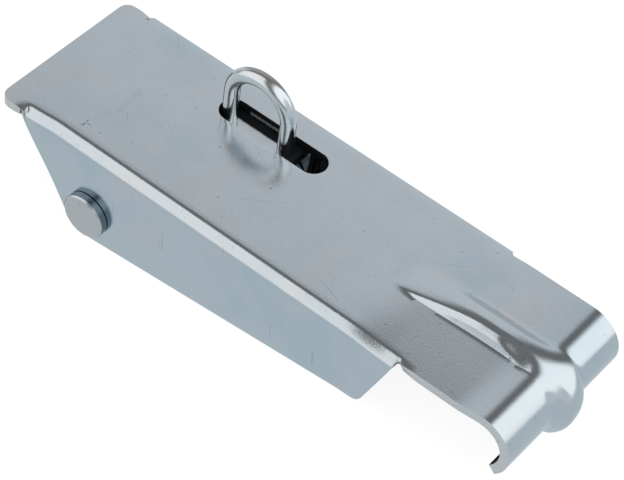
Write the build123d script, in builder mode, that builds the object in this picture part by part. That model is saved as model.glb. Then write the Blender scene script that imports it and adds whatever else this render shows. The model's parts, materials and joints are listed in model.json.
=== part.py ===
"""Over-centre case latch with a padlock staple: folded cover, inner lever, base plate and two pins.

Row frame: +Z up out of the case, +X from the finger lip towards the hook, +Y across the latch. The origin
is at the middle of the base plate's screw holes, on the face that lies on the case. The latch is closed.
The cover slopes down towards its hook, so what lies along it is drawn on planes of its own: distances run
along the cover from the lip's edge, and heights are taken from its top face.
"""

import os
from math import atan2, cos, radians, sin, tan

from build123d import *

os.makedirs("parts", exist_ok=True)

# Sheet and running gaps
sheet = 2.0                    # thickness of the cover's steel
lever_sheet = 2.0
base_sheet = 2.0
side_gap = 0.3                 # between neighbouring flanges of two pieces
pin_gap = 0.05                 # radial, where a pin turns in a hole
head_gap = 0.15                # under the cover pin's heads
case_gap = 0.3                 # between the cover's lowest edge and the case

# Cover: folded body, lip and tongue
cover_slope = 5.3              # degrees, closed cover against the case
body_width = 37.2
fold_radius = 2.6              # outside of the long folds
lip_width = 36.0
lip_shift = -1.1               # its middle line from the folded body's middle line
lip_length = 8.0
lip_corner = 2.2
tongue_width = 34.3
tongue_shift = -0.45           # its and the bead's middle line from the folded body's
edge_margin = 6.8              # from the cover pin's centre to the flange edges beside it
flange_taper = 6.0             # degrees, flange's low edge against the cover's top
flange_length = 65.0           # along the low edge, from below the cover pin
lip_edge_angle = 58.0          # degrees, slanted flange edge below the lip
hook_edge_angle = 69.0         # degrees, slanted flange edge at the hook end
flange_corner = 3.0

# Hook: the tongue's end curled over and down
curl_from_lip = 113.15         # along the cover, to the curl's axis
curl_radius = 7.0              # outside
curl_angle = 136.0             # degrees that the sheet turns

# Bead along the tongue and over the curl: half widths at the sheet and at the crest, and heights
bead_tip = 84.5                # distances along the cover
bead_middle = 88.5
bead_full = 93.5
tip_foot = 3.6
tip_crest = 1.6
tip_height = 0.2
tip_round = 0.1
middle_foot = 4.1
middle_crest = 2.3
middle_height = 1.45
middle_round = 0.8
full_foot = 4.3
full_crest = 2.9
full_height = 2.6
full_round = 1.3
groove_round = 0.3             # inside corners of the groove under the bead
bead_root = 0.5                # how deep the bead's solid reaches into the sheet

# Cover pin with its two heads
pin_from_lip = 22.8
pin_below_top = 16.3
cover_pin_radius = 3.0
head_radius = 4.85
head_thickness = 1.6
head_chamfer = 0.35

# Staple: a bent wire riveted into the lever's web
wire_radius = 1.6
staple_middle = 40.45          # along the cover
staple_half_span = 6.85        # from the middle to a leg's centre
staple_bend_height = 5.2       # the bend's centre above the cover's top
rivet_radius = 2.3
rivet_thickness = 1.0

# Slot for the staple, off the cover's middle line
slot_from_side = 9.75          # its middle line from the cover's side that it is nearer to
slot_width = 6.05
slot_length = 25.35
slot_leg_gap = 0.45            # between the slot's end and the leg beside it

# Inner lever
web_below_top = 2.4            # its top face under the cover's top face
web_behind_leg = 6.1           # from the leg nearer to the lip, to the web's end there
web_beyond_leg = 2.5           # from the other leg to the web's other end
lever_fold_radius = 2.8
lever_front_radius = 5.0       # of its sides, round the cover pin
lever_back_radius = 5.5        # of its sides, round the pivot pin
lever_corner = 1.0

# Lever pivot on the base plate's ears
lever_arm = 21.0               # level distance between the two pins
over_centre = 1.3              # the pivot's height above the cover pin
pivot_radius = 3.0
pivot_chamfer = 0.3

# Base plate with its ears and screw holes
pivot_from_middle = 9.0        # pivot behind the middle of the screw holes
base_length = 66.0
base_corner = 3.0
base_fold_radius = 2.8
ear_radius = 5.5
ear_foot = 12.0
hole_radius = 2.6
hole_spacing_along = 48.0
hole_spacing_across = 13.0

# Places and widths that follow from the sizes above
slope = radians(cover_slope)
taper = radians(flange_taper)
lip_edge = radians(lip_edge_angle)
hook_edge = radians(hook_edge_angle)
cover_pin_x = -pivot_from_middle - lever_arm
cover_pin_z = edge_margin + case_gap
pivot_x = -pivot_from_middle
pivot_z = cover_pin_z + over_centre
along = Vector(cos(slope), 0, -sin(slope))
upward = Vector(sin(slope), 0, cos(slope))
lip_point = Vector(cover_pin_x, 0, cover_pin_z) - along * pin_from_lip + upward * pin_below_top
lever_width = body_width - 2 * sheet - 2 * side_gap
base_width = lever_width - 2 * lever_sheet - 2 * side_gap
slot_across = body_width / 2 - slot_from_side
first_leg = staple_middle - staple_half_span
second_leg = staple_middle + staple_half_span
slot_start = first_leg - wire_radius - slot_leg_gap
web_start = first_leg - web_behind_leg
web_end = second_leg + web_beyond_leg
leg_places = [(first_leg, slot_across), (second_leg, slot_across)]
cover_top = Plane(origin=lip_point, x_dir=along, z_dir=upward)
cover_side = Plane(origin=lip_point, x_dir=along, z_dir=(0, -1, 0))


def cover_section(distance, up=0.0, across=0.0):
    """Plane square to the cover's length: its X runs across the latch and its Y away from the case."""
    origin = lip_point + along * distance + upward * up + Vector(0, across, 0)
    return Plane(origin=origin, x_dir=(0, 1, 0), z_dir=along)


def bead_section(distance, up=0.0):
    """Plane square to the bead's length, on its middle line."""
    return cover_section(distance, up, tongue_shift)


def channel_outline(width, depth, thickness, fold):
    """Closed outline of sheet folded down at both sides, with its top's middle at the sketch's origin."""
    outer = width / 2
    inner = outer - thickness
    FilletPolyline((-outer, -depth), (-outer, 0), (outer, 0), (outer, -depth), radius=fold)
    FilletPolyline(
        (-inner, -depth), (-inner, -thickness), (inner, -thickness), (inner, -depth), radius=fold - thickness
    )
    Line((-outer, -depth), (-inner, -depth))
    Line((inner, -depth), (outer, -depth))


def bead_outline(foot, crest, height, rounding):
    """Closed outline of a bead standing on a sheet's face, rooted a little below that face."""
    FilletPolyline((-foot, 0), (-crest, height), (crest, height), (foot, 0), radius=rounding)
    Polyline((foot, 0), (foot, -bead_root), (-foot, -bead_root), (-foot, 0))


def groove_outline(foot, crest, height):
    """Closed outline of the groove that the same bead leaves on the sheet's other face."""
    inset = sheet * tan(atan2(height, foot - crest) / 2)
    bead_outline(foot - inset, crest - inset, height, groove_round)


# Flange outline's corners, on the cover's side plane
lip_edge_foot = (pin_from_lip - edge_margin * sin(lip_edge), -pin_below_top - edge_margin * cos(lip_edge))
lip_edge_top = lip_edge_foot[0] + lip_edge_foot[1] / tan(lip_edge)
low_start = (pin_from_lip + edge_margin * sin(taper), -pin_below_top - edge_margin * cos(taper))
low_end = (low_start[0] + flange_length, low_start[1] + flange_length * tan(taper))
hook_edge_top = low_end[0] - low_end[1] / tan(hook_edge)
outline_above = 1.0            # how far the outline stands over the cover's top face
outline_left = (lip_edge_top - outline_above / tan(lip_edge), outline_above)
outline_right = (hook_edge_top + outline_above / tan(hook_edge), outline_above)
tongue_start = hook_edge_top - fold_radius
curl_axis = Axis(lip_point + along * curl_from_lip - upward * curl_radius, (0, 1, 0))

# Cover
with BuildPart() as cover:
    # Folded channel, cut to the flanges' outline
    with BuildSketch(cover_section(0)):
        with BuildLine():
            channel_outline(body_width, 2 * pin_below_top, sheet, fold_radius)
        make_face()
    extrude(amount=hook_edge_top)
    with BuildSketch(cover_side) as flange_outline:
        with BuildLine():
            Line(outline_left, lip_edge_foot)
            RadiusArc(lip_edge_foot, low_start, -edge_margin)
            Polyline(low_start, low_end, outline_right, outline_left)
        make_face()
        fillet(flange_outline.vertices().sort_by_distance(Vector(*low_end))[0], flange_corner)
    extrude(amount=body_width, both=True, mode=Mode.INTERSECT)

    # Lip, wider than the folded body, and the tongue, narrower
    with BuildSketch(cover_top) as lip:
        with Locations((lip_length / 2, lip_shift)):
            Rectangle(lip_length, lip_width)
        fillet(lip.vertices().group_by(Axis.X)[0], lip_corner)
    extrude(amount=-sheet)
    with BuildSketch(cover_top):
        with Locations(((tongue_start + curl_from_lip) / 2, tongue_shift)):
            Rectangle(curl_from_lip - tongue_start, tongue_width)
    extrude(amount=-sheet)

    # Curl at the tongue's end
    with BuildSketch(cover_side.offset(-tongue_shift)):
        with BuildLine():
            outer_arc = CenterArc((curl_from_lip, -curl_radius), curl_radius, 90, -curl_angle)
            inner_arc = CenterArc((curl_from_lip, -curl_radius), curl_radius - sheet, 90, -curl_angle)
            Line(outer_arc @ 0, inner_arc @ 0)
            Line(outer_arc @ 1, inner_arc @ 1)
        make_face()
    extrude(amount=tongue_width / 2, both=True)

    # Bead: its nose, its straight run and its run over the curl
    with BuildSketch(bead_section(bead_tip)):
        with BuildLine():
            bead_outline(tip_foot, tip_crest, tip_height, tip_round)
        make_face()
    with BuildSketch(bead_section(bead_middle)):
        with BuildLine():
            bead_outline(middle_foot, middle_crest, middle_height, middle_round)
        make_face()
    with BuildSketch(bead_section(bead_full)):
        with BuildLine():
            bead_outline(full_foot, full_crest, full_height, full_round)
        make_face()
    loft()
    with BuildSketch(bead_section(bead_full)):
        with BuildLine():
            bead_outline(full_foot, full_crest, full_height, full_round)
        make_face()
    extrude(amount=curl_from_lip - bead_full)
    with BuildSketch(bead_section(curl_from_lip)):
        with BuildLine():
            bead_outline(full_foot, full_crest, full_height, full_round)
        make_face()
    revolve(axis=curl_axis, revolution_arc=curl_angle)

    # Groove under the bead, which keeps the sheet's thickness
    with BuildSketch(bead_section(bead_middle, -sheet)):
        with BuildLine():
            groove_outline(middle_foot, middle_crest, middle_height)
        make_face()
    with BuildSketch(bead_section(bead_full, -sheet)):
        with BuildLine():
            groove_outline(full_foot, full_crest, full_height)
        make_face()
    loft(mode=Mode.SUBTRACT)
    with BuildSketch(bead_section(bead_full, -sheet)):
        with BuildLine():
            groove_outline(full_foot, full_crest, full_height)
        make_face()
    extrude(amount=curl_from_lip - bead_full, mode=Mode.SUBTRACT)
    with BuildSketch(bead_section(curl_from_lip, -sheet)):
        with BuildLine():
            groove_outline(full_foot, full_crest, full_height)
        make_face()
    revolve(axis=curl_axis, revolution_arc=curl_angle, mode=Mode.SUBTRACT)

    # Slot for the staple
    with BuildSketch(cover_top):
        with Locations((slot_start + slot_length / 2, slot_across)):
            SlotOverall(slot_length, slot_width)
    extrude(amount=-2 * sheet, mode=Mode.SUBTRACT)

    # Holes for the cover pin
    with BuildSketch(cover_side):
        with Locations((pin_from_lip, -pin_below_top)):
            Circle(cover_pin_radius + pin_gap)
    extrude(amount=body_width, both=True, mode=Mode.SUBTRACT)

cover.part.label = "cover"
export_step(cover.part, "parts/cover.step")

# Cover pin, headed at both ends
cover_pin_middle = Plane(origin=(cover_pin_x, 0, cover_pin_z), x_dir=(1, 0, 0), z_dir=(0, -1, 0))
head_seat = body_width / 2 + head_gap

with BuildPart() as cover_pin:
    with BuildSketch(cover_pin_middle):
        Circle(cover_pin_radius)
    extrude(amount=head_seat, both=True)
    with BuildSketch(cover_pin_middle.offset(head_seat), cover_pin_middle.offset(-head_seat - head_thickness)):
        Circle(head_radius)
    extrude(amount=head_thickness)
    head_rims = cover_pin.edges().filter_by(GeomType.CIRCLE).group_by(Axis.Y)
    chamfer(head_rims[0] + head_rims[-1], head_chamfer)

cover_pin.part.label = "cover_pin"
export_step(cover_pin.part, "parts/cover_pin.step")

# Inner lever: a channel whose sides run round both pins and whose web carries the staple
pivot_along = pin_from_lip + lever_arm * cos(slope) - over_centre * sin(slope)
pivot_up = -pin_below_top + lever_arm * sin(slope) + over_centre * cos(slope)

with BuildPart() as inner_lever:
    with BuildSketch(cover_section(0, -web_below_top)):
        with BuildLine():
            channel_outline(lever_width, 2 * pin_below_top, lever_sheet, lever_fold_radius)
        make_face()
    extrude(amount=web_end)
    with BuildSketch(cover_side):
        with Locations((pin_from_lip, -pin_below_top)):
            Circle(lever_front_radius)
        with Locations((pivot_along, pivot_up)):
            Circle(lever_back_radius)
        with Locations(
            (web_start + lever_corner, -web_below_top - lever_corner),
            (web_end - lever_corner, -web_below_top - lever_corner),
        ):
            Circle(lever_corner)
        make_hull()
    extrude(amount=lever_width, both=True, mode=Mode.INTERSECT)
    with BuildSketch(cover_side):
        with Locations((pin_from_lip, -pin_below_top)):
            Circle(cover_pin_radius + pin_gap)
        with Locations((pivot_along, pivot_up)):
            Circle(pivot_radius)
    extrude(amount=lever_width, both=True, mode=Mode.SUBTRACT)
    with BuildSketch(cover_top):
        with Locations(*leg_places):
            Circle(wire_radius)
    extrude(amount=-web_below_top - 2 * lever_sheet, mode=Mode.SUBTRACT)

inner_lever.part.label = "inner_lever"
export_step(inner_lever.part, "parts/inner_lever.step")

# Padlock staple, its legs through the web and riveted below it
leg_bottom = -web_below_top - lever_sheet
leg_bottoms = Plane(origin=lip_point + upward * leg_bottom, x_dir=along, z_dir=upward)

with BuildPart() as staple:
    with BuildSketch(leg_bottoms):
        with Locations(*leg_places):
            Circle(wire_radius)
    extrude(amount=staple_bend_height - leg_bottom)
    bend_axis = Axis(
        lip_point + along * staple_middle + upward * staple_bend_height + Vector(0, slot_across, 0), (0, 1, 0)
    )
    with BuildSketch(leg_bottoms.offset(staple_bend_height - leg_bottom)):
        with Locations(leg_places[0]):
            Circle(wire_radius)
    revolve(axis=bend_axis, revolution_arc=180)
    with BuildSketch(leg_bottoms):
        with Locations(*leg_places):
            Circle(rivet_radius)
    extrude(amount=-rivet_thickness)

staple.part.label = "padlock_staple"
export_step(staple.part, "parts/padlock_staple.step")

# Lever pivot pin, flush in the lever's sides
with BuildPart() as pivot_pin:
    with BuildSketch(Plane(origin=(pivot_x, 0, pivot_z), x_dir=(1, 0, 0), z_dir=(0, -1, 0))):
        Circle(pivot_radius)
    extrude(amount=lever_width / 2, both=True)
    chamfer(pivot_pin.edges().filter_by(GeomType.CIRCLE), pivot_chamfer)

pivot_pin.part.label = "lever_pivot_pin"
export_step(pivot_pin.part, "parts/lever_pivot_pin.step")

# Base plate: two flats with screw holes, and between them a channel whose sides stand up as ears
ear_start = Plane(origin=(pivot_x - ear_foot / 2, 0, 0), x_dir=(0, -1, 0), z_dir=(1, 0, 0))

with BuildPart() as base_plate:
    with BuildSketch(ear_start):
        with BuildLine():
            channel_outline(base_width, pivot_z + 2 * ear_radius, base_sheet, base_fold_radius)
        make_face()
    extrude(amount=ear_foot)
    with BuildSketch(Plane.XZ):
        with Locations((pivot_x, pivot_z)):
            Circle(ear_radius)
        with Locations((pivot_x, base_sheet / 2)):
            Rectangle(ear_foot, base_sheet)
        make_hull()
    extrude(amount=base_width, both=True, mode=Mode.INTERSECT)
    with BuildSketch() as flats:
        Rectangle(base_length, base_width)
        fillet(flats.vertices(), base_corner)
        with Locations((pivot_x, 0)):
            Rectangle(ear_foot, base_width, mode=Mode.SUBTRACT)
    extrude(amount=base_sheet)
    with BuildSketch():
        with GridLocations(hole_spacing_along, hole_spacing_across, 2, 2):
            Circle(hole_radius)
    extrude(amount=base_sheet, mode=Mode.SUBTRACT)
    with BuildSketch(Plane.XZ):
        with Locations((pivot_x, pivot_z)):
            Circle(pivot_radius + pin_gap)
    extrude(amount=base_width, both=True, mode=Mode.SUBTRACT)

base_plate.part.label = "base_plate"
export_step(base_plate.part, "parts/base_plate.step")
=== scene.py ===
"""Looks of a closed over-centre case latch: plated sheet, turned pins and a bright wire staple.

Everything is in metres in the row frame: +Z out of the case, +X from the finger lip towards the hook and
+Y across the latch. The sizes of the pieces are written in millimetres and turned to metres where they
are used.
"""

import json
import logging
import math
from dataclasses import dataclass, field
from enum import Enum

import bmesh
import bpy
from mathutils import Matrix, Vector

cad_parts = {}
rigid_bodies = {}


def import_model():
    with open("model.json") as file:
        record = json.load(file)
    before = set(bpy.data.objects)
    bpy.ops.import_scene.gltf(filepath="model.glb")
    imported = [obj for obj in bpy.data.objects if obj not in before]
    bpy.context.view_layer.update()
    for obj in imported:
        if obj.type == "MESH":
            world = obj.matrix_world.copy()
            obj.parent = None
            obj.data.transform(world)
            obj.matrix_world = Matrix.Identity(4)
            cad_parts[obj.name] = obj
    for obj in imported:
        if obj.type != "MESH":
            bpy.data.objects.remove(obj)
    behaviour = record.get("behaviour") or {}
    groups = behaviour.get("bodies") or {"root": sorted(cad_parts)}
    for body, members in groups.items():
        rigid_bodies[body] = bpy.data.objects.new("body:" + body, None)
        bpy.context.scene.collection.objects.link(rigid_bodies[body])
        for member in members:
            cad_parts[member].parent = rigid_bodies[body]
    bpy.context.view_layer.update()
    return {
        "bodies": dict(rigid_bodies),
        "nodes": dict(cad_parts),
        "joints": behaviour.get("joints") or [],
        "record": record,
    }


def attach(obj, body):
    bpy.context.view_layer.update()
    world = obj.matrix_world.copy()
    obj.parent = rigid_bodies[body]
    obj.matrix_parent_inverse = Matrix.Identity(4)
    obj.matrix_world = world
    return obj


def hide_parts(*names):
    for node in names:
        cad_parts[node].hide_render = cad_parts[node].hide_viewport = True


MM = 0.001
ACROSS = Vector((0.0, 1.0, 0.0))
LOG = logging.getLogger("case_latch")

# Sockets of a Mix node that mixes colours, and the vector operations that give a number.
MIX_FACTOR = 0
MIX_COLOURS = (6, 7)
MIX_RESULT = 2
NUMBER_OPERATIONS = ("DOT_PRODUCT", "LENGTH", "DISTANCE")

Colour = tuple[float, float, float]


def ease(value: float, start: float, over: float) -> float:
    """Go smoothly from 0 to 1 as a value goes on from a start, flat at both ends.

    Args:
        value: The value, such as a distance along the cover.
        start: Where the rise begins.
        over: How long it takes.

    Returns:
        A share from 0 to 1.
    """
    share = min(max((value - start) / over, 0.0), 1.0)
    return share * share * (3.0 - 2.0 * share)


def evenly(start: float, end: float, cells: int) -> list[float]:
    """List the evenly spaced places from start up to, but without, end."""
    return [start + (end - start) * i / cells for i in range(cells)]


class Plating(Enum):
    """Kinds of zinc-plated surface on the latch."""

    SHEET = "zinc plated sheet"
    EDGE = "zinc plated cut edge"
    PUNCHED = "zinc plated punched wall"
    WEB = "zinc plated web"
    # Darkened as painted shade, for the pieces inside the cover.
    HIDDEN = "zinc plated inner sheet"
    PIN = "zinc plated pin"
    WIRE = "zinc plated wire"


class Edit:
    """Short names for the modelling steps that every piece uses."""

    @staticmethod
    def deselect() -> None:
        """Clear the selection in object mode."""
        bpy.ops.object.select_all(action="DESELECT")

    @staticmethod
    def only(piece: bpy.types.Object) -> None:
        """Select one object alone and make it active."""
        Edit.deselect()
        piece.select_set(True)
        bpy.context.view_layer.objects.active = piece

    @staticmethod
    def apply(piece: bpy.types.Object, kind: str, **settings: object) -> None:
        """Add a modifier, give it its settings and apply it.

        Args:
            piece: Object that gets the modifier.
            kind: Modifier type, such as BEVEL.
            **settings: Values set on the modifier by name.
        """
        Edit.only(piece)
        modifier = piece.modifiers.new(kind.lower(), kind)
        for key, value in settings.items():
            setattr(modifier, key, value)
        bpy.ops.object.modifier_apply(modifier=modifier.name)

    @staticmethod
    def settle(piece: bpy.types.Object) -> None:
        """Put an object's place, turn and size into its mesh."""
        Edit.only(piece)
        bpy.ops.object.transform_apply(location=True, rotation=True, scale=True)

    @staticmethod
    def shade(piece: bpy.types.Object, degrees: float) -> None:
        """Shade smooth, but keep edges sharp above an angle."""
        Edit.only(piece)
        bpy.ops.object.shade_smooth_by_angle(angle=math.radians(degrees))


@dataclass
class CoverFrame:
    """Row-frame directions of the sloping cover, from the place of its pin.

    The cover's own places are a distance along it from the lip's edge, a distance across it and a height
    from its top face.
    """

    pin: Vector
    slope: float = 5.3
    pin_from_lip: float = 22.8
    pin_below_top: float = 16.3

    def __post_init__(self) -> None:
        """Work out the directions and the lip's edge from the slope and the pin."""
        angle = math.radians(self.slope)
        self.along = Vector((math.cos(angle), 0.0, -math.sin(angle)))
        self.upward = Vector((math.sin(angle), 0.0, math.cos(angle)))
        self.lip = self.pin + (self.upward * self.pin_below_top - self.along * self.pin_from_lip) * MM

    def place(self, distance: float, across: float, height: float) -> Vector:
        """Turn a place on the cover, in millimetres, to the row frame in metres."""
        return self.lip + (self.along * distance + ACROSS * across + self.upward * height) * MM

    def matrix(self, distance: float, across: float, height: float) -> Matrix:
        """Give the matrix of an object that stands on the cover at a place."""
        turn = Matrix((self.along, ACROSS, self.upward)).transposed().to_4x4()
        return Matrix.Translation(self.place(distance, across, height)) @ turn


class Nodes:
    """Builds one node tree and keeps its nodes and links short to write."""

    def __init__(self, tree: bpy.types.NodeTree) -> None:
        """Start on an empty tree."""
        self.tree = tree
        tree.nodes.clear()

    def add(self, kind: str, **settings: object) -> bpy.types.Node:
        """Add a node and set its plain properties.

        Args:
            kind: Node type.
            **settings: Values set on the node by name.

        Returns:
            The node.
        """
        node = self.tree.nodes.new(kind)
        for key, value in settings.items():
            setattr(node, key, value)
        return node

    def link(self, source: bpy.types.NodeSocket, target: bpy.types.NodeSocket) -> None:
        """Join an output to an input."""
        self.tree.links.new(source, target)

    def feed(self, target: bpy.types.NodeSocket, value: object) -> None:
        """Link an input to a socket, or set it to a plain number, vector or colour.

        Args:
            target: The input.
            value: A socket or a plain value.
        """
        if isinstance(value, bpy.types.NodeSocket):
            self.link(value, target)
        else:
            target.default_value = value

    def math(self, operation: str, first: object, second: object = 0.0) -> bpy.types.NodeSocket:
        """Add a math node.

        Args:
            operation: What the node does.
            first: Its first socket or number.
            second: Its second socket or number, where it has one.

        Returns:
            The node's output.
        """
        node = self.add("ShaderNodeMath", operation=operation)
        self.feed(node.inputs[0], first)
        self.feed(node.inputs[1], second)
        return node.outputs[0]

    def vector_math(
        self, operation: str, first: object, second: object = (0.0, 0.0, 0.0)
    ) -> bpy.types.NodeSocket:
        """Add a vector math node.

        Args:
            operation: What the node does.
            first: Its first socket or vector.
            second: Its second socket or vector, where it has one.

        Returns:
            The node's vector, or its number where the operation gives one.
        """
        node = self.add("ShaderNodeVectorMath", operation=operation)
        self.feed(node.inputs[0], first)
        self.feed(node.inputs[1], second)
        return node.outputs["Value" if operation in NUMBER_OPERATIONS else "Vector"]

    def ramp(
        self, value: bpy.types.NodeSocket, low: float, high: float, bottom: float = 0.0, top: float = 1.0
    ) -> bpy.types.NodeSocket:
        """Map a value from one range onto another, eased and clamped.

        Args:
            value: What is mapped.
            low: Value at which the output is the bottom.
            high: Value at which the output is the top.
            bottom: Output at and below low.
            top: Output at and above high.

        Returns:
            The mapped value.
        """
        node = self.add("ShaderNodeMapRange", interpolation_type="SMOOTHSTEP")
        self.link(value, node.inputs["Value"])
        for label, bound in (("From Min", low), ("From Max", high), ("To Min", bottom), ("To Max", top)):
            node.inputs[label].default_value = bound
        return node.outputs["Result"]

    def noise(
        self, vector: bpy.types.NodeSocket, scale: object, detail: float, roughness: float = 0.55
    ) -> bpy.types.NodeSocket:
        """Add a noise texture.

        Args:
            vector: Where the noise is read.
            scale: Its count for each metre, as a number or a socket.
            detail: Its octaves.
            roughness: How strong each octave is against the one before.

        Returns:
            The noise's value.
        """
        node = self.add("ShaderNodeTexNoise")
        self.link(vector, node.inputs["Vector"])
        self.feed(node.inputs["Scale"], scale)
        node.inputs["Detail"].default_value = detail
        node.inputs["Roughness"].default_value = roughness
        return node.outputs["Fac"]

    def blend(self, factor: bpy.types.NodeSocket, first: object, second: object) -> bpy.types.NodeSocket:
        """Mix two colours.

        Args:
            factor: Share of the second colour.
            first: The first colour, plain or from a socket.
            second: The second colour, plain or from a socket.

        Returns:
            The mixed colour.
        """
        node = self.add("ShaderNodeMix", data_type="RGBA")
        self.link(factor, node.inputs[MIX_FACTOR])
        for index, value in zip(MIX_COLOURS, (first, second)):
            self.feed(node.inputs[index], (*value, 1.0) if isinstance(value, tuple) else value)
        return node.outputs[MIX_RESULT]


def new_group(
    name: str, inputs: dict[str, object], outputs: dict[str, str]
) -> tuple[Nodes, bpy.types.Node, bpy.types.Node]:
    """Start a shader node group with named sockets.

    Args:
        name: Name of the group.
        inputs: Default value by input name. A number makes a float, a triple a colour and None a vector.
        outputs: Socket type by output name.

    Returns:
        The group's node builder, its input node and its output node.
    """
    tree = bpy.data.node_groups.new(name, "ShaderNodeTree")
    for label, value in inputs.items():
        if value is None:
            tree.interface.new_socket(name=label, in_out="INPUT", socket_type="NodeSocketVector")
        elif isinstance(value, tuple):
            socket = tree.interface.new_socket(name=label, in_out="INPUT", socket_type="NodeSocketColor")
            socket.default_value = (*value, 1.0)
        else:
            socket = tree.interface.new_socket(name=label, in_out="INPUT", socket_type="NodeSocketFloat")
            socket.default_value = value
    for label, kind in outputs.items():
        tree.interface.new_socket(name=label, in_out="OUTPUT", socket_type=kind)
    nodes = Nodes(tree)
    return nodes, nodes.add("NodeGroupInput"), nodes.add("NodeGroupOutput")


class PlatingEffects:
    """Shader groups for zinc plating: its clouded tone, its fine grain and the marks of handling."""

    def __init__(self) -> None:
        """Build the three groups once."""
        self.tone = self._tone()
        self.grain = self._grain()
        self.marks = self._marks()

    @staticmethod
    def _tone() -> bpy.types.NodeTree:
        """Build the soft clouds of warmer and bluer passivation, with fine speckle."""
        nodes, source, target = new_group(
            "plating tone",
            {"Vector": None, "Plain": (0.5, 0.5, 0.5), "Blue": (0.5, 0.5, 0.5), "Warm": (0.5, 0.5, 0.5)},
            {"Color": "NodeSocketColor"},
        )
        vector = source.outputs["Vector"]
        blue = nodes.ramp(nodes.noise(vector, scale=55.0, detail=2.0), low=0.48, high=0.68)
        warm = nodes.ramp(nodes.noise(vector, scale=90.0, detail=3.0, roughness=0.6), low=0.55, high=0.75)
        first = nodes.blend(blue, source.outputs["Plain"], source.outputs["Blue"])
        second = nodes.blend(warm, first, source.outputs["Warm"])
        speckle = nodes.ramp(nodes.noise(vector, scale=4800.0, detail=2.0), low=0.3, high=0.7, top=0.06)
        nodes.link(nodes.blend(speckle, second, (0.2, 0.21, 0.22)), target.inputs["Color"])
        return nodes.tree

    @staticmethod
    def _grain() -> bpy.types.NodeTree:
        """Build the sheet's fine grain and slight waviness, as a height and a roughness."""
        nodes, source, target = new_group(
            "plating grain",
            {"Vector": None, "Fine": 4200.0, "Wave": 45.0, "Low": 0.25, "High": 0.4},
            {"Height": "NodeSocketFloat", "Wave": "NodeSocketFloat", "Roughness": "NodeSocketFloat"},
        )
        vector = source.outputs["Vector"]
        fine = nodes.noise(vector, scale=source.outputs["Fine"], detail=3.0, roughness=0.6)
        wave = nodes.noise(vector, scale=source.outputs["Wave"], detail=1.0, roughness=0.5)
        cloud = nodes.ramp(nodes.noise(vector, scale=160.0, detail=3.0), low=0.3, high=0.7)
        span = nodes.math("SUBTRACT", source.outputs["High"], source.outputs["Low"])
        share = nodes.math("MULTIPLY", cloud, span)
        nodes.link(fine, target.inputs["Height"])
        nodes.link(wave, target.inputs["Wave"])
        nodes.link(nodes.math("ADD", source.outputs["Low"], share), target.inputs["Roughness"])
        return nodes.tree

    @staticmethod
    def _marks() -> bpy.types.NodeTree:
        """Build faint hairline scratches and small specks, as one mask."""
        nodes, source, target = new_group(
            "handling marks", {"Vector": None, "Amount": 1.0}, {"Mask": "NodeSocketFloat"}
        )
        vector = source.outputs["Vector"]
        patch = nodes.ramp(nodes.noise(vector, scale=70.0, detail=1.0), low=0.52, high=0.62)
        marks = nodes.ramp(nodes.noise(vector, scale=1300.0, detail=0.0), low=0.82, high=0.85)
        for count_along, count_across, angle in ((60.0, 2400.0, 0.3), (90.0, 3000.0, 7.1)):
            turn = nodes.add("ShaderNodeVectorRotate", rotation_type="Z_AXIS")
            nodes.link(vector, turn.inputs["Vector"])
            turn.inputs["Angle"].default_value = angle
            stretch = nodes.add("ShaderNodeMapping")
            nodes.link(turn.outputs["Vector"], stretch.inputs["Vector"])
            stretch.inputs["Scale"].default_value = (count_along, count_across, count_along)
            streaks = nodes.noise(stretch.outputs["Vector"], scale=1.0, detail=1.0)
            lines = nodes.math("MULTIPLY", nodes.ramp(streaks, low=0.73, high=0.78), patch)
            marks = nodes.math("MAXIMUM", marks, lines)
        nodes.link(nodes.math("MULTIPLY", marks, source.outputs["Amount"]), target.inputs["Mask"])
        return nodes.tree


@dataclass(frozen=True)
class PaintedShadeZone:
    """A zone of painted shade, darker and duller, inside planes that each have a place and a direction
    inward.
    """

    planes: tuple[tuple[Vector, Vector], ...]
    blur: float = 0.0002

    @classmethod
    def strip(
        cls, frame: CoverFrame, start: float, near: float, far: float, blur: float = 0.0002
    ) -> "PaintedShadeZone":
        """Bound a strip along the cover, towards the hook.

        Args:
            frame: Directions of the cover.
            start: Where the strip begins, in millimetres from the lip's edge.
            near: Its near side, in millimetres across the cover.
            far: Its far side, in millimetres across the cover.
            blur: Width of its soft border, in metres.

        Returns:
            The zone.
        """
        near_corner = frame.place(start, near, 0.0)
        far_corner = frame.place(start, far, 0.0)
        return cls(((near_corner, frame.along), (near_corner, ACROSS), (far_corner, -ACROSS)), blur)


@dataclass(frozen=True)
class Nick:
    """A small mark along a straight stretch, with the distance over which it fades and its strength."""

    begins: Vector
    ends: Vector
    width: float
    strength: float


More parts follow.
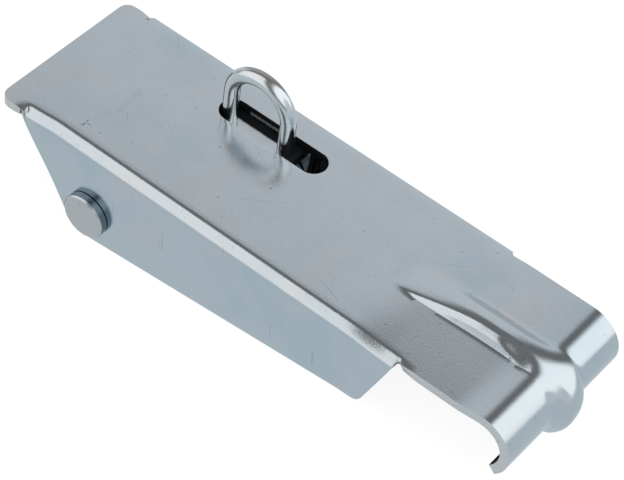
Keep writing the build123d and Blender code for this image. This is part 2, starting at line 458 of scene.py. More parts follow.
@dataclass(frozen=True)
class PlatedFinish:
    """Zinc-plated steel: sheet, pin or wire.

    Colours are linear, sizes of the grain are counts for each metre and depths are in metres. A turned pin
    has the place of its axis, which runs along Y, the count of its turning rings, and the inner and outer
    radius of a darker, duller ring of painted shade on its head's rim.
    """

    kind: Plating
    plain: Colour
    blue: Colour
    warm: Colour
    smoothest: float
    roughest: float
    grain_count: float = 4200.0
    grain_depth: float = 0.0000035
    wave_count: float = 45.0
    wave_depth: float = 0.00003
    mark: Colour = (0.32, 0.33, 0.34)
    mark_amount: float = 0.5
    nick_colour: Colour = (0.1, 0.1, 0.1)
    nicks: tuple[Nick, ...] = ()
    # Painted shade: a darker, duller colour laid in zones or a ring, standing in for shade on the piece.
    painted_shade: Colour = (0.03, 0.032, 0.035)
    painted_shade_roughness: float = 0.7
    painted_shade_zones: tuple[PaintedShadeZone, ...] = ()
    painted_shade_ring: tuple[float, float] | None = None
    axis: Vector | None = None
    ring_count: float = 0.0

    def material(self, effects: PlatingEffects) -> bpy.types.Material:
        """Make the material from the shared plating effects.

        Args:
            effects: The shader groups for tone, grain and marks.

        Returns:
            The finished material.
        """
        material = bpy.data.materials.new(self.kind.value)
        material.use_nodes = True
        nodes = Nodes(material.node_tree)
        place = nodes.add("ShaderNodeTexCoord").outputs["Object"]
        tone = nodes.add("ShaderNodeGroup", node_tree=effects.tone)
        grain = nodes.add("ShaderNodeGroup", node_tree=effects.grain)
        marks = nodes.add("ShaderNodeGroup", node_tree=effects.marks)
        for group in (tone, grain, marks):
            nodes.link(place, group.inputs["Vector"])
        tone.inputs["Plain"].default_value = (*self.plain, 1.0)
        tone.inputs["Blue"].default_value = (*self.blue, 1.0)
        tone.inputs["Warm"].default_value = (*self.warm, 1.0)
        grain.inputs["Fine"].default_value = self.grain_count
        grain.inputs["Wave"].default_value = self.wave_count
        grain.inputs["Low"].default_value = self.smoothest
        grain.inputs["High"].default_value = self.roughest
        marks.inputs["Amount"].default_value = self.mark_amount

        shader = nodes.add("ShaderNodeBsdfPrincipled")
        shader.inputs["Metallic"].default_value = 1.0
        colour = nodes.blend(marks.outputs["Mask"], tone.outputs["Color"], self.mark)
        roughness = grain.outputs["Roughness"]
        # Painted shade: darken and roughen the zones that stand in for shade.
        if self.painted_shade_zones or self.painted_shade_ring is not None:
            painted_shade = self._painted_shade(nodes, place)
            colour = nodes.blend(painted_shade, colour, self.painted_shade)
            roughness = nodes.math("MAXIMUM", roughness, nodes.math("MULTIPLY", painted_shade, self.painted_shade_roughness))
        for nick in self.nicks:
            colour = nodes.blend(self._nicked(nodes, place, nick), colour, self.nick_colour)
        nodes.link(colour, shader.inputs["Base Color"])
        nodes.link(roughness, shader.inputs["Roughness"])
        bumps = [(grain.outputs["Height"], self.grain_depth), (grain.outputs["Wave"], self.wave_depth)]
        if self.ring_count > 0.0:
            bumps.append((self._rings(nodes, place), self.grain_depth))
        normal = None
        for height, depth in bumps:
            bump = nodes.add("ShaderNodeBump")
            bump.inputs["Strength"].default_value = 1.0
            bump.inputs["Distance"].default_value = depth
            nodes.link(height, bump.inputs["Height"])
            if normal is not None:
                nodes.link(normal, bump.inputs["Normal"])
            normal = bump.outputs["Normal"]
        nodes.link(normal, shader.inputs["Normal"])
        nodes.link(shader.outputs["BSDF"], nodes.add("ShaderNodeOutputMaterial").inputs["Surface"])
        return material

    def _painted_shade(self, nodes: Nodes, place: bpy.types.NodeSocket) -> bpy.types.NodeSocket:
        """Mask the zones of painted shade on a piece, such as a punched wall darkened above the burr along
        its foot, which is kept bright as a painted highlight.

        Args:
            nodes: Builder of the material's nodes.
            place: Object coordinates.

        Returns:
            A mask that is 1 in the zones of painted shade, or in the ring of painted shade of a pin that has
            one.
        """
        if self.painted_shade_ring is not None:
            return self._ring(nodes, place)
        ragged_depth = 0.0003
        ragged = nodes.math("MULTIPLY", nodes.noise(place, scale=900.0, detail=2.0), ragged_depth)
        mask = None
        for zone in self.painted_shade_zones:
            depth = None
            for level, inward in zone.planes:
                offset = nodes.vector_math("SUBTRACT", place, level)
                beyond = nodes.vector_math("DOT_PRODUCT", offset, inward)
                depth = beyond if depth is None else nodes.math("MINIMUM", depth, beyond)
            inside = nodes.ramp(nodes.math("ADD", depth, ragged), low=0.0, high=zone.blur)
            mask = inside if mask is None else nodes.math("MAXIMUM", mask, inside)
        return mask

    def _ring(self, nodes: Nodes, place: bpy.types.NodeSocket) -> bpy.types.NodeSocket:
        """Mask the ring of painted shade about a pin's axis.

        Args:
            nodes: Builder of the material's nodes.
            place: Object coordinates.

        Returns:
            A mask that is 1 in the ring.
        """
        inner, outer = self.painted_shade_ring
        inner_blur = 0.00004
        outer_blur = 0.0001
        radius = self._radius(nodes, place)
        within = nodes.ramp(radius, low=outer, high=outer + outer_blur, bottom=1.0, top=0.0)
        return nodes.math("MULTIPLY", nodes.ramp(radius, low=inner - inner_blur, high=inner), within)

    @staticmethod
    def _nicked(nodes: Nodes, place: bpy.types.NodeSocket, nick: Nick) -> bpy.types.NodeSocket:
        """Mask one nick by the distance from its stretch, broken up by noise.

        Args:
            nodes: Builder of the material's nodes.
            place: Object coordinates.
            nick: The nick's stretch, width and strength.

        Returns:
            A mask that is the nick's strength along its middle.
        """
        core = nick.width * 0.4
        rim = nick.width * 1.6
        run = nick.ends - nick.begins
        offset = nodes.vector_math("SUBTRACT", place, nick.begins)
        along = nodes.vector_math("DOT_PRODUCT", offset, run / run.length_squared)
        share = nodes.math("MINIMUM", nodes.math("MAXIMUM", along, 0.0), 1.0)
        away = nodes.vector_math("DISTANCE", offset, nodes.vector_math("MULTIPLY", share, run))
        worn = nodes.ramp(nodes.noise(place, scale=2200.0, detail=2.0), low=0.25, high=0.6)
        mask = nodes.ramp(away, low=core, high=rim, bottom=nick.strength, top=0.0)
        return nodes.math("MULTIPLY", mask, worn)

    def _radius(self, nodes: Nodes, place: bpy.types.NodeSocket) -> bpy.types.NodeSocket:
        """Measure the distance from a pin's axis.

        Args:
            nodes: Builder of the material's nodes.
            place: Object coordinates.

        Returns:
            The distance in metres.
        """
        centred = nodes.vector_math("SUBTRACT", place, self.axis)
        flat = nodes.vector_math("MULTIPLY", centred, (1.0, 0.0, 1.0))
        return nodes.vector_math("LENGTH", flat)

    def _rings(self, nodes: Nodes, place: bpy.types.NodeSocket) -> bpy.types.NodeSocket:
        """Build the rings that turning leaves on a pin's end."""
        turns = nodes.math("MULTIPLY", self._radius(nodes, place), self.ring_count * math.tau)
        return nodes.math("SINE", turns)


@dataclass
class Cover:
    """The folded cover: finger lip, flanges, slot, tongue, bead and curled hook.

    It is pressed from one flat grid, as the real one is from a blank, then given its thickness, its slot
    and its pin holes, and its cut edges are rounded. Sizes are in millimetres and degrees.
    """

    frame: CoverFrame
    # The folded body, whose near fold flares out towards the lip.
    sheet: float = 2.0
    half_width: float = 18.6
    fold_radius: float = 2.6
    near_flare: float = 0.5
    flare_length: float = 7.5
    # The finger lip, which droops at its sides just before the folds begin.
    lip_half_width: float = 18.0
    lip_shift: float = -1.1
    lip_corner: float = 2.2
    lip_end: float = 6.0
    lip_droop: float = 0.35
    lip_droops_over: float = 2.0
    # Where the flanges and the tongue begin and end. The strip beside the bead leans down a little.
    flange_start: float = 6.5
    flange_end: float = 94.6
    tongue_start: float = 95.1
    tongue_half_width: float = 17.15
    tongue_shift: float = -0.45
    tongue_droop: float = 0.2
    tongue_settles_over: float = 3.9
    strip_lean: float = 2.5
    strip_leans_over: float = 10.0
    strip_levels_over: float = 6.0
    shortest_side: float = 0.4
    bend_share: float = 0.8
    # The flanges' outline: a margin round the pin, a tapering low edge and two slanted ends.
    edge_margin: float = 6.8
    flange_taper: float = 6.0
    flange_length: float = 65.0
    lip_edge_angle: float = 58.0
    hook_edge_angle: float = 69.0
    flange_corner: float = 3.0
    # The hook's curl, on the sheet's outer face.
    curl_from_lip: float = 113.15
    curl_radius: float = 7.0
    curl_angle: float = 136.0
    # The bead, from its nose over its crest and its two feet to the slopes on its near and far side.
    bead_nose: float = 82.5
    nose_lead: float = 1.0
    bead_grows_over: float = 19.5
    bead_height: float = 2.6
    bead_crest_bends: float = 106.0
    bead_crest: float = -1.1
    bead_near_foot: float = 4.35
    bead_far_foot: float = 3.85
    bead_narrowing: float = 0.5
    bead_narrows_from: float = 88.0
    bead_narrows_over: float = 18.0
    bead_spread: float = 1.2
    bead_spreads_from: float = 108.0
    bead_spreads_over: float = 12.0
    near_slope: float = 0.2
    near_slope_power: float = 1.3
    near_fall_power: float = 7.0
    far_gentle_power: float = 1.3
    far_steep_power: float = 2.6
    far_steepens_over: float = 5.0
    crease_fades_from: float = 105.0
    crease_fades_over: float = 8.0
    # The pin holes and the staple's slot.
    hole_radius: float = 3.05
    slot_start: float = 31.55
    slot_length: float = 25.35
    slot_width: float = 6.05
    slot_across: float = 8.85
    # The rounded edges, and how finely the mesh is divided.
    edge_round: float = 0.28
    edge_segments: int = 3
    edge_angle: float = 62.0
    smooth_angle: float = 35.0
    slot_sides: int = 48
    hole_sides: int = 64
    column_cells: dict[str, int] = field(
        default_factory=lambda: {"flange": 12, "fold": 12, "flat": 12, "bead": 28}
    )
    row_cells: dict[str, int] = field(
        default_factory=lambda: {
            "lip corner": 6,
            "lip": 5,
            "lip half": 44,
            "body": 44,
            "nose": 10,
            "flange corner": 5,
            "hook edge": 18,
            "tongue": 34,
            "curl": 46,
        }
    )

    def __post_init__(self) -> None:
        """Work out the flange outline's turning points."""
        lip_edge = math.radians(self.lip_edge_angle)
        taper = math.radians(self.flange_taper)
        hook_edge = math.radians(self.hook_edge_angle)
        pin_along = self.frame.pin_from_lip
        pin_depth = self.frame.pin_below_top
        self.lip_foot = pin_along - self.edge_margin * math.sin(lip_edge)
        lip_foot_depth = pin_depth + self.edge_margin * math.cos(lip_edge)
        self.lip_top = self.lip_foot - lip_foot_depth / math.tan(lip_edge)
        self.low_start = pin_along + self.edge_margin * math.sin(taper)
        self.low_start_depth = pin_depth + self.edge_margin * math.cos(taper)
        self.low_end = self.low_start + self.flange_length
        self.low_end_depth = self.low_start_depth - self.flange_length * math.tan(taper)
        self.hook_top = self.low_end + self.low_end_depth / math.tan(hook_edge)
        reach = self.flange_corner * math.tan((hook_edge - taper) / 2)
        self.corner_from = self.low_end - reach * math.cos(taper)
        self.corner_to = self.low_end + reach * math.cos(hook_edge)

    def flange_depth(self, distance: float) -> float:
        """Give the flange edge's depth below the cover's top face.

        Args:
            distance: Distance along the cover from the lip's edge.

        Returns:
            The depth, which is negative past the flange's two ends.
        """
        pin_along = self.frame.pin_from_lip
        if distance < self.lip_foot:
            return (distance - self.lip_top) * math.tan(math.radians(self.lip_edge_angle))
        if distance < self.low_start:
            return self.frame.pin_below_top + math.sqrt(self.edge_margin**2 - (distance - pin_along) ** 2)
        taper = math.radians(self.flange_taper)
        if distance < self.corner_from:
            return self.low_start_depth - (distance - self.low_start) * math.tan(taper)
        if distance > self.corner_to:
            return (self.hook_top - distance) * math.tan(math.radians(self.hook_edge_angle))
        start_depth = self.low_start_depth - (self.corner_from - self.low_start) * math.tan(taper)
        middle = self.corner_from - self.flange_corner * math.sin(taper)
        middle_depth = start_depth - self.flange_corner * math.cos(taper)
        return middle_depth + math.sqrt(max(self.flange_corner**2 - (distance - middle) ** 2, 0.0))

    def rows(self) -> list[float]:
        """List the grid rows as distances along the outer face, from the lip's edge to the curl's tip."""
        cells = self.row_cells
        turns = evenly(0.0, 90.0, cells["lip corner"])
        rows = [self.lip_corner * (1.0 - math.cos(math.radians(turn))) for turn in turns]
        before_nose = self.bead_nose - self.nose_lead
        tip = self.curl_from_lip + math.radians(self.curl_angle) * self.curl_radius
        rows += evenly(self.lip_corner, self.lip_end, cells["lip"]) + [self.lip_end]
        rows += evenly(self.flange_start, self.low_start, cells["lip half"])
        rows += evenly(self.low_start, before_nose, cells["body"])
        rows += evenly(before_nose, self.corner_from, cells["nose"])
        rows += evenly(self.corner_from, self.corner_to, cells["flange corner"])
        rows += evenly(self.corner_to, self.flange_end, cells["hook edge"]) + [self.flange_end]
        rows += evenly(self.tongue_start, self.curl_from_lip, cells["tongue"])
        return rows + evenly(self.curl_from_lip, tip, cells["curl"]) + [tip]

    def _side_path(self, run: float, side: int) -> tuple[float, float, float, float]:
        """Follow a row across from the flat face over its bend, on one side.

        Args:
            run: Distance along the cover.
            side: -1 for the near side, where the fold flares out at the lip, and 1 for the far side.

        Returns:
            The bend's start across the cover, its radius, and the path's break and end beyond that start.
        """
        flared = 1.0 - ease(run, self.flange_start, self.flare_length)
        radius = self.fold_radius
        begins = self.half_width - radius
        if side < 0:
            begins += self.near_flare * flared
        if run <= self.lip_end:
            inset = self.lip_corner - math.sqrt(
                max(self.lip_corner**2 - max(self.lip_corner - run, 0.0) ** 2, 0.0)
            )
            length = self.lip_half_width + side * self.lip_shift - begins - inset
            if length < self.shortest_side:
                begins += length - self.shortest_side
                length = self.shortest_side
        elif run >= self.tongue_start:
            length = self.tongue_half_width + side * self.tongue_shift - begins
        else:
            depth = self.flange_depth(run)
            if depth >= radius:
                length = radius * math.pi / 2 + depth - radius
            else:
                length = radius * math.acos(1.0 - depth / radius)
        return begins, radius, min(radius * math.pi / 2, self.bend_share * length), length

    def _beyond(self, run: float, radius: float, path: float, length: float) -> tuple[float, float]:
        """Place a point of a row's side path.

        Args:
            run: Distance along the cover.
            radius: The bend's radius.
            path: Distance along the side path from the bend's start.
            length: The whole side path's length.

        Returns:
            How far out and how far down the point is from the bend's start.
        """
        if run <= self.lip_end:
            growing = ease(run, self.lip_end - self.lip_droops_over, self.lip_droops_over)
            return path, self.lip_droop * growing * (path / length) ** 2
        if run >= self.tongue_start:
            settling = 1.0 - ease(run, self.tongue_start, self.tongue_settles_over)
            return path, self.tongue_droop * settling * (path / length) ** 2
        quarter = radius * math.pi / 2
        if path <= quarter:
            return radius * math.sin(path / radius), radius * (1.0 - math.cos(path / radius))
        return radius, radius + path - quarter

    def bead_feet(self, run: float) -> tuple[float, float]:
        """Give the bead's two feet at a row.

        Args:
            run: Distance along the cover.

        Returns:
            The near and the far foot, across the cover.
        """
        narrowing = self.bead_narrowing * ease(run, self.bead_narrows_from, self.bead_narrows_over)
        near = self.bead_near_foot - narrowing
        spread = self.bead_spread * ease(run, self.bead_spreads_from, self.bead_spreads_over)
        return -(near + spread), self.bead_far_foot + spread

    def crest_height(self, run: float) -> float:
        """Give the bead's height at its crest, which bends over in a wider curve than the sheet's curl.

        Args:
            run: Distance along the cover.

        Returns:
            The full bead's height over the sheet's outer face.
        """
        reach = self.curl_radius + self.bead_height
        wide = self.curl_from_lip + reach - self.bead_crest_bends
        before = self.curl_from_lip - self.bead_crest_bends
        if run <= self.bead_crest_bends:
            return self.bead_height
        if run <= self.curl_from_lip:
            share = (run - self.bead_crest_bends) / wide
            return reach * math.sqrt(1.0 - share**2) - self.curl_radius
        turned = (run - self.curl_from_lip) / self.curl_radius
        if turned >= math.pi / 2:
            return self.bead_height
        square = (math.sin(turned) / wide) ** 2 + (math.cos(turned) / reach) ** 2
        half = before * math.sin(turned) / wide**2
        rest = (before / wide) ** 2 - 1.0
        return (math.sqrt(half**2 - square * rest) - half) / square - self.curl_radius

    def bead_rise(self, run: float, across: float) -> float:
        """Give the bead's height at a point.

        Args:
            run: Distance along the cover.
            across: Distance across it.

        Returns:
            The height over the sheet's outer face.
        """
        near, far = self.bead_feet(run)
        if not near < across < far:
            return 0.0
        tall = self.crest_height(run) * ease(run, self.bead_nose, self.bead_grows_over)
        if across < self.bead_crest:
            share = (self.bead_crest - across) / (self.bead_crest - near)
            slope = self.near_slope * share**self.near_slope_power
            crisp = 1.0 - slope - (1.0 - self.near_slope) * share**self.near_fall_power
            soft = 0.5 + 0.5 * math.cos(math.pi * share)
            fade = ease(run, self.crease_fades_from, self.crease_fades_over)
            return tall * (crisp + (soft - crisp) * fade)
        share = (across - self.bead_crest) / (far - self.bead_crest)
        gentle = (1.0 - share**2) ** self.far_gentle_power
        steep = 1.0 - share**self.far_steep_power
        return tall * (gentle + (steep - gentle) * ease(run, self.curl_from_lip, self.far_steepens_over))

    def _columns(self, run: float) -> list[tuple[float, float]]:
        """List a row's places.

        Args:
            run: Distance along the cover.

        Returns:
            How far across and how far below the base face each place is, from the near edge to the far one.
        """
        cells = self.column_cells
        near_foot, far_foot = self.bead_feet(run)
        edges = []
        starts = []
        for side in (-1, 1):
            begins, radius, broken, length = self._side_path(run, side)
            paths = evenly(length, broken, cells["flange"]) + evenly(broken, 0.0, cells["fold"])
            beyond = [self._beyond(run, radius, path, length) for path in paths]
            edges.append([(side * (begins + out), down) for out, down in beyond])
            starts.append(side * begins)
        flat = evenly(starts[0], near_foot, cells["flat"])
        flat += evenly(near_foot, far_foot, cells["bead"])
        flat += evenly(far_foot, starts[1], cells["flat"]) + [starts[1]]
        places = edges[0] + [(across, 0.0) for across in flat] + edges[1][::-1]
        growing = ease(run, self.bead_nose, self.strip_leans_over)
        levelling = ease(run, self.curl_from_lip - self.strip_levels_over, self.strip_levels_over)
        leaning = math.tan(math.radians(self.strip_lean)) * growing * (1.0 - levelling)
        return [(across, down + leaning * max(near_foot - across, 0.0)) for across, down in places]

    def press(self, run: float, across: float, down: float) -> Vector:
        """Place one point of the blank on the pressed outer face.

        Args:
            run: Distance along the cover.
            across: Distance across it.
            down: Depth below the base face.

        Returns:
            The point in the row frame, in metres.
        """
        lift = self.bead_rise(run, across) - down
        if run <= self.curl_from_lip:
            return self.frame.place(run, across, lift)
        turned = (run - self.curl_from_lip) / self.curl_radius
        reach = self.curl_radius + lift
        distance = self.curl_from_lip + reach * math.sin(turned)
        return self.frame.place(distance, across, reach * math.cos(turned) - self.curl_radius)

    def build(
        self, face: bpy.types.Material, edge: bpy.types.Material, wall: bpy.types.Material
    ) -> bpy.types.Object:
        """Model and dress the cover.

        Args:
            face: Finish of the sheet's two faces.
            edge: Finish of its sheared edges.
            wall: Finish of the slot's and the holes' walls.

        Returns:
            The finished cover.
        """
        finishes = (face, edge, wall)
        cover = self._pressed_face()
        for material in finishes:
            cover.data.materials.append(material)
        Edit.apply(
            cover,
            "SOLIDIFY",
            thickness=self.sheet * MM,
            offset=-1.0,
            use_even_offset=True,
            use_quality_normals=True,
            material_offset_rim=finishes.index(edge),
        )
        for cutter in (self._slot_cutter(), self._hole_cutter()):
            for material in finishes:
                cutter.data.materials.append(material)
            for polygon in cutter.data.polygons:
                polygon.material_index = finishes.index(wall)
            Edit.apply(cover, "BOOLEAN", object=cutter, operation="DIFFERENCE", solver="EXACT")
            bpy.data.objects.remove(cutter)
        Edit.apply(
            cover,
            "BEVEL",
            width=self.edge_round * MM,
            segments=self.edge_segments,
            limit_method="ANGLE",
            angle_limit=math.radians(self.edge_angle),
            use_clamp_overlap=True,
            harden_normals=False,
        )
        Edit.shade(cover, self.smooth_angle)
        return cover

    def _pressed_face(self) -> bpy.types.Object:
        """Lay out the blank's grid and press it into the shape of the outer face."""
        rows = self.rows()
        places = [[self.press(run, across, down) for across, down in self._columns(run)] for run in rows]
        last_row = len(rows) - 1
        last_column = len(places[0]) - 1
        span = 2.0
        Edit.deselect()
        bpy.ops.mesh.primitive_grid_add(
            x_subdivisions=last_row, y_subdivisions=last_column, size=span, location=(0, 0, 0)
        )
        cover = bpy.context.object
        cover.name = "cover_shell"
        mesh = bmesh.new()
        mesh.from_mesh(cover.data)
        for vertex in mesh.verts:
            row = round((vertex.co.x / span + 0.5) * last_row)
            column = round((vertex.co.y / span + 0.5) * last_column)
            vertex.co = places[row][column]
        mesh.normal_update()
        mesh.to_mesh(cover.data)
        mesh.free()
        return cover

    def _slot_cutter(self) -> bpy.types.Object:
        """Make the long hole's cutter: a circle drawn out along the cover and raised through the sheet."""
        radius = self.slot_width / 2
        straight = self.slot_length - self.slot_width
        height = 3 * self.sheet
        foot = -2 * self.sheet
        barely = 0.0001
        Edit.deselect()
        bpy.ops.mesh.primitive_circle_add(
            vertices=self.slot_sides, radius=radius * MM, fill_type="NGON", location=(0, 0, 0)
        )
        cutter = bpy.context.object
        bpy.ops.object.mode_set(mode="EDIT")
        bpy.ops.mesh.select_all(action="DESELECT")
        bpy.ops.object.mode_set(mode="OBJECT")
        for vertex in cutter.data.vertices:
            vertex.select = vertex.co.x > barely * MM
        bpy.ops.object.mode_set(mode="EDIT")
        bpy.ops.transform.translate(value=(straight * MM, 0, 0))
        bpy.ops.mesh.select_all(action="SELECT")
        bpy.ops.mesh.extrude_region_move(TRANSFORM_OT_translate={"value": (0, 0, height * MM)})
        bpy.ops.mesh.select_all(action="SELECT")
        bpy.ops.mesh.normals_make_consistent(inside=False)
        bpy.ops.object.mode_set(mode="OBJECT")
        cutter.matrix_world = self.frame.matrix(self.slot_start + radius, self.slot_across, foot)
        Edit.settle(cutter)
        return cutter

    def _hole_cutter(self) -> bpy.types.Object:
        """Make the cutter of the two pin holes: one long rod across the cover."""
        Edit.deselect()
        bpy.ops.mesh.primitive_cylinder_add(
            vertices=self.hole_sides,
            radius=self.hole_radius * MM,
            depth=3 * self.half_width * MM,
            location=self.frame.pin,
            rotation=(math.pi / 2, 0, 0),
        )
        cutter = bpy.context.object
        Edit.settle(cutter)
        return cutter


@dataclass(frozen=True)
class SoftPatch:
    """Soft-edged light or shade on the studio's dome.

    Its place is given by two angles in degrees, each with a lowest and a highest value: how far it leans
    from straight up towards the front, and how far it turns towards the hook.
    """

    name: str
    lean: tuple[float, float]
    turn: tuple[float, float]
    tone: Colour
    edge: float = 4.0


@dataclass
class Studio:
    """Pale floor, a dome with soft lights on it and the camera of the photograph.

    Places are in metres, and the camera's angles are in degrees. What the metal mirrors of the floor has a
    painted shadow under the latch, which clears beside it, between the two distances given across and along
    it.
    """

    target: Vector = field(default_factory=lambda: Vector((0.010957, -0.001656, 0.013342)))
    distance: float = 0.45321
    azimuth: float = 37.157
    elevation: float = 45.072
    roll: float = 2.277
    lens: float = 140.75
    sensor: float = 36.0
    floor_size: float = 12.0
    floor_level: float = -0.00002
    floor_glow: float = 0.9
    paper: Colour = (0.2, 0.2, 0.2)
    mirrored: Colour = (0.61, 0.68, 0.73)
    clears_across: tuple[float, float] = (0.0165, 0.018)
    clears_along: tuple[float, float] = (0.055, 0.068)
    shade: Colour = (0.2, 0.2, 0.2)
    backdrop: Colour = (1.0, 1.0, 1.0)
    patches: tuple[SoftPatch, ...] = (
        SoftPatch("floor at the front", (127.0, 181.0), (-91.0, 91.0), (0.65, 0.705, 0.745), 5.0),
        SoftPatch("floor at the back", (-181.0, -97.0), (-91.0, 91.0), (0.66, 0.71, 0.76), 5.0),
        SoftPatch("side of the hook", (-181.0, 110.0), (59.0, 91.0), (0.7, 0.75, 0.8), 6.0),
        SoftPatch("grey screen at the back", (-181.0, -30.0), (-91.0, -5.0), (0.7, 0.73, 0.765), 7.0),
        SoftPatch("softbox over the front", (-1.0, 105.0), (-75.0, -8.0), (1.12, 1.12, 1.12), 2.5),
        SoftPatch("softbox at the back", (-94.0, 75.0), (17.0, 58.0), (1.3, 1.34, 1.36), 6.0),
    )

    def build(self) -> None:
        """Build the floor, the dome and the camera."""
        self._floor()
        self._dome()
        self._camera()

    def _floor(self) -> None:
        """Lay the pale floor that the latch lies on."""
        Edit.deselect()
        bpy.ops.mesh.primitive_plane_add(size=self.floor_size, location=(0, 0, self.floor_level))
        floor = bpy.context.object
        floor.name = "floor"
        material = bpy.data.materials.new("floor paper")
        material.use_nodes = True
        nodes = Nodes(material.node_tree)
        place = nodes.add("ShaderNodeSeparateXYZ")
        nodes.link(nodes.add("ShaderNodeTexCoord").outputs["Object"], place.inputs[0])
        # Painted shadow: the glow that the metal mirrors is dark under the latch and clears beside it and
        # beyond its ends.
        beside = nodes.ramp(nodes.math("ABSOLUTE", place.outputs["Y"]), *self.clears_across)
        beyond = nodes.ramp(nodes.math("ABSOLUTE", place.outputs["X"]), *self.clears_along)
        mirrored = nodes.add("ShaderNodeEmission")
        mirrored.inputs["Color"].default_value = (*self.mirrored, 1.0)
        nodes.link(nodes.math("MAXIMUM", beside, beyond), mirrored.inputs["Strength"])
        pale = nodes.add("ShaderNodeEmission")
        pale.inputs["Color"].default_value = (*self.backdrop, 1.0)
        pale.inputs["Strength"].default_value = self.floor_glow
        paper = nodes.add("ShaderNodeBsdfDiffuse")
        paper.inputs["Color"].default_value = (*self.paper, 1.0)
        seen = nodes.add("ShaderNodeAddShader")
        nodes.link(pale.outputs[0], seen.inputs[0])
        nodes.link(paper.outputs[0], seen.inputs[1])
        choice = nodes.add("ShaderNodeMixShader")
        nodes.link(nodes.add("ShaderNodeLightPath").outputs["Is Camera Ray"], choice.inputs[0])
        nodes.link(mirrored.outputs[0], choice.inputs[1])
        nodes.link(seen.outputs[0], choice.inputs[2])
        nodes.link(choice.outputs[0], nodes.add("ShaderNodeOutputMaterial").inputs["Surface"])
        floor.data.materials.append(material)

    def _dome(self) -> None:
        """Paint the dome: white to the camera, and shade with the soft patches where the metal mirrors it."""
        world = bpy.data.worlds.new("studio dome")
        bpy.context.scene.world = world
        world.use_nodes = True
        nodes = Nodes(world.node_tree)
        place = nodes.add("ShaderNodeSeparateXYZ")
        nodes.link(nodes.add("ShaderNodeTexCoord").outputs["Generated"], place.inputs[0])
        forward = nodes.math("MULTIPLY", place.outputs["Y"], -1.0)
        lean = nodes.math("DEGREES", nodes.math("ARCTAN2", forward, place.outputs["Z"]))
        turn = nodes.math("DEGREES", nodes.math("ARCSINE", place.outputs["X"]))
        tone: object = self.shade
        for patch in self.patches:
            masks = []
            for angle, (low, high) in ((lean, patch.lean), (turn, patch.turn)):
                masks.append(nodes.ramp(angle, low - patch.edge, low + patch.edge))
                masks.append(nodes.ramp(angle, high - patch.edge, high + patch.edge, bottom=1.0, top=0.0))
            inside = nodes.math("MULTIPLY", masks[0], masks[1])
            inside = nodes.math("MULTIPLY", inside, nodes.math("MULTIPLY", masks[2], masks[3]))
            tone = nodes.blend(inside, tone, patch.tone)
            tone.node.label = patch.name
        seen = nodes.add("ShaderNodeLightPath").outputs["Is Camera Ray"]
        background = nodes.add("ShaderNodeBackground")
        nodes.link(nodes.blend(seen, tone, self.backdrop), background.inputs["Color"])
        nodes.link(background.outputs[0], nodes.add("ShaderNodeOutputWorld").inputs["Surface"])

    def _camera(self) -> None:
        """Set up the camera with the photograph's viewing angle."""
        turn = math.radians(self.azimuth)
        tilt = math.radians(self.elevation)
        roll = math.radians(self.roll)
        back = Vector((math.sin(turn) * math.cos(tilt), -math.cos(turn) * math.cos(tilt), math.sin(tilt)))
        level = Vector((math.cos(turn), math.sin(turn), 0.0))
        above = back.cross(level)
        right = level * math.cos(roll) + above * math.sin(roll)
        up = above * math.cos(roll) - level * math.sin(roll)
        data = bpy.data.cameras.new("photo camera")
        data.lens = self.lens
        data.sensor_width = self.sensor
        camera = bpy.data.objects.new("photo camera", data)
        bpy.context.collection.objects.link(camera)
        turned = Matrix((right, up, back)).transposed().to_4x4()
        camera.matrix_world = Matrix.Translation(self.target + back * self.distance) @ turned
        bpy.context.scene.camera = camera


def dress(piece: bpy.types.Object, material: bpy.types.Material) -> None:
    """Give a piece one material in all its slots."""
    piece.data.materials.clear()
    piece.data.materials.append(material)


def cover_nicks(frame: CoverFrame) -> tuple[Nick, ...]:
    """Lay out the small marks of handling on the cover's top face.

    Args:
        frame: Directions of the cover.

    Returns:
        The nicks.
    """
    # Each mark's two ends along and across the cover, its width in millimetres and its strength.
    marks = (
        # Crossed nicks beside the near fold, and a faint smear beyond them.
        ((16.7, -14.3), (16.5, -12.4), 0.12, 0.75),
        ((16.5, -13.3), (17.6, -13.2), 0.10, 0.7),
        ((16.1, -14.4), (16.7, -13.7), 0.08, 0.5),
        ((17.0, -11.0), (19.0, -6.0), 0.60, 0.05),
        ((19.0, -6.0), (18.5, 0.0), 0.80, 0.06),
        # A speck and two hairlines beside the slot.
        ((52.4, -1.8), (52.6, -1.8), 0.16, 0.6),
        ((50.0, -8.0), (57.5, -2.0), 0.05, 0.25),
        ((50.5, -13.5), (51.5, -15.0), 0.06, 0.35),
        # Hairlines on the far side of the bead, and a speck on the finger lip.
        ((84.5, 4.0), (91.0, 8.5), 0.05, 0.25),
        ((99.0, 10.5), (100.5, 9.5), 0.07, 0.4),
        ((6.0, 16.0), (6.5, 16.0), 0.20, 0.6),
    )
    return tuple(
        Nick(frame.place(*begins, 0.0), frame.place(*ends, 0.0), width * MM, strength)
        for begins, ends, width, strength in marks
    )


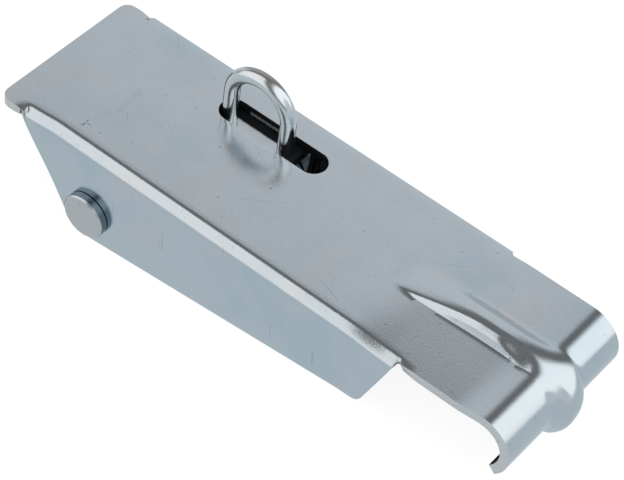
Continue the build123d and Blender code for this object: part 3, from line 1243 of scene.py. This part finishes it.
def plated_finishes(frame: CoverFrame) -> tuple[PlatedFinish, ...]:
    """Set out the latch's finishes.

    Args:
        frame: Directions of the cover, on which the dull zones and the nicks are laid out.

    Returns:
        One finish for each kind of plating.
    """
    # Places that bound the painted shade on the punched walls and on the staple's wire.
    burr_highlight_top = frame.place(0.0, 0.0, -1.25)
    slot_hook_end = frame.place(46.8, 0.0, 0.0)
    slot_lip_end = frame.place(36.6, 0.0, 0.0)
    staple_crown = Vector((-0.0104, 0.00985, 0.0328))
    crown_away = Vector((0.0, 0.85, 0.53))
    return (
        PlatedFinish(
            Plating.SHEET,
            plain=(0.588, 0.63, 0.655),
            blue=(0.54, 0.61, 0.65),
            warm=(0.62, 0.62, 0.63),
            smoothest=0.11,
            roughest=0.16,
            grain_count=3300.0,
            grain_depth=0.000016,
            nicks=cover_nicks(frame),
        ),
        PlatedFinish(
            Plating.EDGE,
            plain=(0.72, 0.71, 0.69),
            blue=(0.68, 0.69, 0.69),
            warm=(0.74, 0.71, 0.67),
            smoothest=0.42,
            roughest=0.55,
            grain_depth=0.00006,
        ),
        PlatedFinish(
            Plating.PUNCHED,
            plain=(0.8, 0.83, 0.85),
            blue=(0.78, 0.82, 0.85),
            warm=(0.8, 0.82, 0.82),
            smoothest=0.55,
            roughest=0.65,
            # Painted shade darkens the wall above a bright strip along its foot, a burr kept bright as a
            # painted highlight, and towards both ends of the slot.
            painted_shade_zones=(
                PaintedShadeZone(((burr_highlight_top, frame.upward),)),
                PaintedShadeZone(((slot_hook_end, frame.along),), blur=0.0008),
                PaintedShadeZone(((slot_lip_end, -frame.along),), blur=0.0008),
            ),
        ),
        PlatedFinish(
            Plating.WEB,
            plain=(0.6, 0.63, 0.65),
            blue=(0.56, 0.61, 0.65),
            warm=(0.6, 0.62, 0.63),
            smoothest=0.14,
            roughest=0.2,
            # Painted shadow on the web under the slot's far wall, and painted shade on its part under the
            # slot towards the hook.
            painted_shade_zones=(
                PaintedShadeZone.strip(frame, start=31.5, near=9.6, far=12.6, blur=0.0006),
                PaintedShadeZone.strip(frame, start=48.4, near=4.5, far=12.6),
            ),
        ),
        # Grey plating, duller than the sheet and darker still as painted shade for the pieces inside the
        # cover.
        PlatedFinish(
            Plating.HIDDEN,
            plain=(0.46, 0.49, 0.51),
            blue=(0.43, 0.47, 0.51),
            warm=(0.47, 0.48, 0.48),
            smoothest=0.32,
            roughest=0.42,
        ),
        PlatedFinish(
            Plating.PIN,
            plain=(0.6, 0.59, 0.58),
            blue=(0.54, 0.59, 0.61),
            warm=(0.6, 0.6, 0.59),
            smoothest=0.22,
            roughest=0.32,
            # A dark blue ring on the head's rim: painted shade for the dark the rim mirrors.
            painted_shade=(0.2, 0.26, 0.3),
            painted_shade_roughness=0.2,
            painted_shade_ring=(0.0048, 0.0052),
            axis=frame.pin,
            ring_count=2600.0,
        ),
        PlatedFinish(
            Plating.WIRE,
            plain=(0.66, 0.69, 0.71),
            blue=(0.6, 0.67, 0.71),
            warm=(0.67, 0.68, 0.68),
            smoothest=0.12,
            roughest=0.22,
            grain_depth=0.000002,
            # The staple's upper back side is toned grey and duller: painted shade.
            painted_shade=(0.42, 0.4, 0.39),
            painted_shade_roughness=0.36,
            painted_shade_zones=(PaintedShadeZone(((staple_crown, crown_away),), blur=0.0003),),
        ),
    )


def main() -> None:
    """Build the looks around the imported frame."""
    logging.basicConfig(level=logging.INFO, format="%(message)s")
    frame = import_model()
    bpy.context.scene.view_settings.view_transform = "Standard"
    joints = {joint["name"]: joint for joint in frame["record"]["behaviour"]["joints"]}
    cover_frame = CoverFrame(Vector(joints["hook_lift"]["pos_m"]))
    effects = PlatingEffects()
    materials = {finish.kind: finish.material(effects) for finish in plated_finishes(cover_frame)}
    LOG.info("%d finishes built", len(materials))

    Studio().build()
    LOG.info("studio built")
    for node, kind in (
        ("inner_lever", Plating.WEB),
        ("base_plate", Plating.HIDDEN),
        ("cover_pin", Plating.PIN),
        ("lever_pivot_pin", Plating.PIN),
        ("padlock_staple", Plating.WIRE),
    ):
        dress(frame["nodes"][node], materials[kind])
        LOG.info("%s dressed as %s", node, kind.value)

    cover = Cover(cover_frame).build(
        materials[Plating.SHEET], materials[Plating.EDGE], materials[Plating.PUNCHED]
    )
    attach(cover, "cover")
    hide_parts("cover")
    LOG.info("cover built with %d faces", len(cover.data.polygons))


if __name__ == "__main__":
    main()
